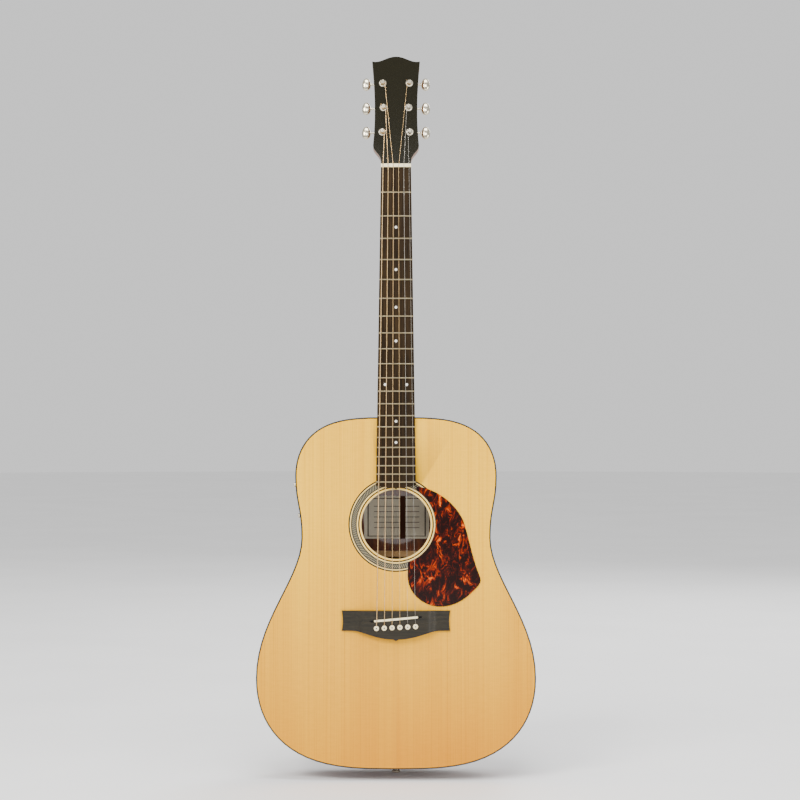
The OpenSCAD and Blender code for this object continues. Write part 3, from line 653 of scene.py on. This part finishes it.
def make_strings():
    """Each string from inside the bridge to its post, followed by its turns round the post."""
    for k in range(1, 7):
        node = f"string_{k}"
        slot = SLOTS[node]
        is_wound = slot == "bronze_string"
        route, radius = string_route(node)
        dive = route[0] + Vector((0.0, 2.2 * MM, -1.6 * MM))
        points, radii = wound([dive] + route, radius, is_wound)
        bm = bmesh.new()
        tube(bm, points, radii, 8 if is_wound else 12)
        piece(node + "_wire", bm, slot, GUITAR, (node,), sharp=SHARP_WIRE)
        make_wraps(k, route[-1], radius, slot, is_wound)


def make_wraps(k, arrival, radius, slot, is_wound):
    """The string's turns round its post, climbing to the hole, and the clipped end beyond it."""
    body = f"tuner_post_{k}"
    centre = Vector(JOINTS[body]["pos_m"])
    hub = centre + HEAD_OUT * (arrival - centre).dot(HEAD_OUT)
    start = arrival - hub
    reach = start.length - 0.08 * MM
    outward = start.normalized()
    climb = 2.1 * radius
    turns = min(2.6, 2.1 * MM / climb) if is_wound else 4.6
    count = int(40 * turns)
    points = []
    for s in range(count + 1):
        angle = 2 * math.pi * turns * s / count
        height = climb * turns * s / count
        spoke = math.cos(angle) * outward + math.sin(angle) * HEAD_UP
        points.append(hub + HEAD_OUT * height + reach * spoke)
    last = points[-1]
    inwards = (hub + HEAD_OUT * (climb * turns) - last).normalized()
    points += [last + inwards * 1.5 * MM, last + inwards * (2 * reach) + HEAD_OUT * 0.3 * MM,
               last + inwards * (2 * reach + 2.2 * MM) + HEAD_OUT * 0.9 * MM]
    points, radii = wound(points, radius, is_wound)
    bm = bmesh.new()
    tube(bm, points, radii, 8)
    piece(f"string_{k}_wraps", bm, slot, body, sharp=SHARP_WIRE)


def superellipsoid(bm, centre, axes, power, rings=24, sides=40, taper=0.0):
    """A rounded solid whose three half axes are the vectors in axes, narrowed towards the third's tip."""

    def signed(value):
        return math.copysign(abs(value) ** (2 / power), value)

    rows = []
    for i in range(1, rings):
        v = math.pi * (i / rings - 0.5)
        girth = signed(math.cos(v)) * (1.0 - taper * max(math.sin(v), 0.0))
        row = []
        for j in range(sides):
            u = 2 * math.pi * j / sides
            row.append(bm.verts.new(
                centre + axes[0] * girth * signed(math.cos(u))
                + axes[1] * girth * signed(math.sin(u)) + axes[2] * signed(math.sin(v))))
        rows.append(row)
    for a, b in zip(rows, rows[1:]):
        for j in range(sides):
            bm.faces.new((a[j], a[(j + 1) % sides], b[(j + 1) % sides], b[j]))
    for row, end in ((rows[0], -1.0), (rows[-1], 1.0)):
        tip = bm.verts.new(centre + axes[2] * end)
        for j in range(sides):
            bm.faces.new((row[j], row[(j + 1) % sides], tip))


# half sizes along the spindle, out of the headstock's face and up along it
BUTTON_HALF = (6.4 * MM, 3.7 * MM, 9.6 * MM)
HOUSING_HALF = (7.9 * MM, 5.45 * MM, 10.9 * MM)
LUG_HALF = (4.2 * MM, 0.48 * MM, 6.0 * MM)


def half_axes(out, half):
    """The half axes of a tuner's part, with out as the way its spindle points."""
    return out * half[0], HEAD_OUT * half[1], HEAD_UP * half[2]


def make_tuner_knobs():
    """Six buttons on collared shafts; the worm end stays inside the housing."""
    for k in range(1, 7):
        body = f"tuner_knob_{k}"
        joint = JOINTS[body]
        out = Vector(joint["axis"]).normalized()
        low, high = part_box(body)
        inner, outer = sorted((abs(low.x), abs(high.x)))
        base = Vector((0.0, joint["pos_m"][1], joint["pos_m"][2]))
        tip = outer - 2 * BUTTON_HALF[0]
        bm = bmesh.new()
        profile = [(inner + 0.4 * MM, 1.2 * MM), (inner + 9 * MM, 1.38 * MM), (tip - 2.2 * MM, 1.38 * MM),
                   (tip - 2.0 * MM, 2.0 * MM), (tip - 1.2 * MM, 2.3 * MM), (tip - 0.4 * MM, 2.0 * MM),
                   (tip + 2.0 * MM, 2.2 * MM)]
        lathe(bm, profile, base, out, 32)
        centre = base + out * (outer - BUTTON_HALF[0])
        superellipsoid(bm, centre, half_axes(out, BUTTON_HALF), 2.3, taper=0.22)
        piece(body + "_button", bm, "chrome", body, (body,), sharp=SHARP_CARVED)


def make_tuner_housings():
    """Six cast gear housings with mounting lugs and a domed cover screw on each."""
    bm = bmesh.new()
    for k in range(1, 7):
        post = Vector(JOINTS[f"tuner_post_{k}"]["pos_m"])
        shaft = Vector(JOINTS[f"tuner_knob_{k}"]["pos_m"])
        out = Vector(JOINTS[f"tuner_knob_{k}"]["axis"]).normalized()
        depth = (shaft - post).dot(HEAD_OUT)
        centre = post + HEAD_OUT * depth + HEAD_UP * 3.0 * MM
        superellipsoid(bm, centre, half_axes(out, HOUSING_HALF), 5.0, 20, 40)
        lathe(bm, [(6.5 * MM, 3.1 * MM), (8.8 * MM, 3.1 * MM), (9.4 * MM, 2.6 * MM), (9.6 * MM, 1.7 * MM)],
              shaft, out, 32)
        plate = post + HEAD_OUT * (depth + HOUSING_HALF[1])
        lug = plate - HEAD_OUT * 0.5 * MM - HEAD_UP * 8.6 * MM
        superellipsoid(bm, lug, half_axes(out, LUG_HALF), 3.0, 12, 32)
    piece("tuner_housing_shells", bm, "chrome", GUITAR, ("tuner_housings",), sharp=SHARP_CARVED)


def make_pin_dots():
    """A dark dot set into the head of each bridge pin."""
    bm = cad_mesh("bridge_pins")
    top = min(v.co.y for v in bm.verts)
    heads = [v.co.copy() for v in bm.verts if v.co.y < top + 0.05 * MM]
    bm.free()
    groups = []
    for p in sorted(heads, key=lambda c: c.x):
        if groups and abs(p.x - groups[-1][0].x) < 5 * MM:
            groups[-1].append(p)
        else:
            groups.append([p])
    dots = bmesh.new()
    profile = [(-0.4 * MM, 1.05 * MM), (-0.05 * MM, 1.05 * MM), (0.08 * MM, 0.9 * MM), (0.14 * MM, 0.4 * MM)]
    for group in groups:
        centre = sum(group, Vector()) / len(group)
        seat = Vector((centre.x, top + 0.02 * MM, centre.z))
        lathe(dots, profile, seat, Vector((0.0, -1.0, 0.0)), 24)
    piece("bridge_pin_dots", dots, "pin_dot")


def paint_the_rest():
    """CAD nodes that stay as they are get their finish in their own slots."""
    for name, obj in NODES.items():
        if not obj.hide_render:
            obj.data.materials.clear()
            obj.data.materials.append(look_of(name))


# ---------------------------------------------------------------- studio


# the lens and sensor, in millimetres, and the width seen at the guitar's front
LENS = 100.0
SENSOR = 36.0
VIEW_WIDTH = 1.1587
VIEW_X, VIEW_Z = 0.0058, -0.3367
LAMP_TARGET = (0.0, 0.0, -0.4)
WORLD_GREY = (0.92, 0.92, 0.92, 1.0)
FLOOR_GAP = 4.0 * MM
FLOOR_RADIUS = 14.0


def make_camera():
    """The main view: straight on, from far enough away that the sides hardly show."""
    camera = bpy.data.objects.new("camera", bpy.data.cameras.new("camera"))
    bpy.context.scene.collection.objects.link(camera)
    camera.data.lens = LENS
    camera.data.sensor_width = SENSOR
    camera.location = (VIEW_X, TOP_FRONT - VIEW_WIDTH * LENS / SENSOR, VIEW_Z)
    camera.rotation_euler = (math.pi / 2, 0.0, 0.0)
    camera.data.clip_start = 0.05
    camera.data.clip_end = 100.0
    bpy.context.scene.camera = camera


def make_lamp(name, at, size, watts, tint=WHITE):
    """A soft rectangular lamp that points at the middle of the guitar."""
    data = bpy.data.lights.new(name, "AREA")
    data.shape = "RECTANGLE"
    data.size, data.size_y = size
    data.energy = watts
    data.color = tint
    lamp = bpy.data.objects.new(name, data)
    bpy.context.scene.collection.objects.link(lamp)
    lamp.location = at
    lamp.rotation_euler = (Vector(LAMP_TARGET) - Vector(at)).to_track_quat("-Z", "Y").to_euler()


def make_world():
    """An even pale surround."""
    world = bpy.data.worlds.new("pale_studio")
    bpy.context.scene.world = world
    world.use_nodes = True
    background = world.node_tree.nodes["Background"]
    background.inputs["Color"].default_value = WORLD_GREY
    background.inputs["Strength"].default_value = 1.0


def make_floor():
    """A wide pale disc just under the guitar."""
    floor = bmesh.new()
    level = Matrix.Translation((0.0, 0.0, cad_box[0].z - FLOOR_GAP))
    bmesh.ops.create_circle(floor, cap_ends=True, segments=96, radius=FLOOR_RADIUS, matrix=level)
    mesh = bpy.data.meshes.new("floor")
    floor.to_mesh(mesh)
    floor.free()
    obj = bpy.data.objects.new("floor", mesh)
    bpy.context.scene.collection.objects.link(obj)
    p = Paint("pale_floor", roughness=0.8)
    mottle = p.noise(p.stretched(3.0, 3.0, 3.0))
    p.colour(p.ramp(mottle, [(0.3, (0.86, 0.86, 0.86)), (0.7, (0.90, 0.90, 0.90))]))
    mesh.materials.append(p.material)


def make_lamps():
    """A warm key from the left, a weaker fill, and soft light from in front, above and behind."""
    make_lamp("key", (-1.6, -2.6, 1.6), (1.4, 1.4), 120.0, (1.0, 0.97, 0.92))
    make_lamp("fill", (2.2, -2.4, 0.0), (1.4, 1.4), 55.0, (1.0, 0.98, 0.95))
    make_lamp("front", (0.0, -3.0, 1.5), (1.0, 0.7), 30.0)
    make_lamp("overhead", (0.0, -1.2, 2.6), (1.8, 0.9), 60.0)
    make_lamp("behind", (1.2, 2.8, 1.4), (1.6, 1.6), 70.0)


make_camera()
make_world()
make_floor()
make_lamps()
make_body()
make_trim()
make_neck()
make_strings()
make_tuner_knobs()
make_tuner_housings()
make_pin_dots()
paint_the_rest()
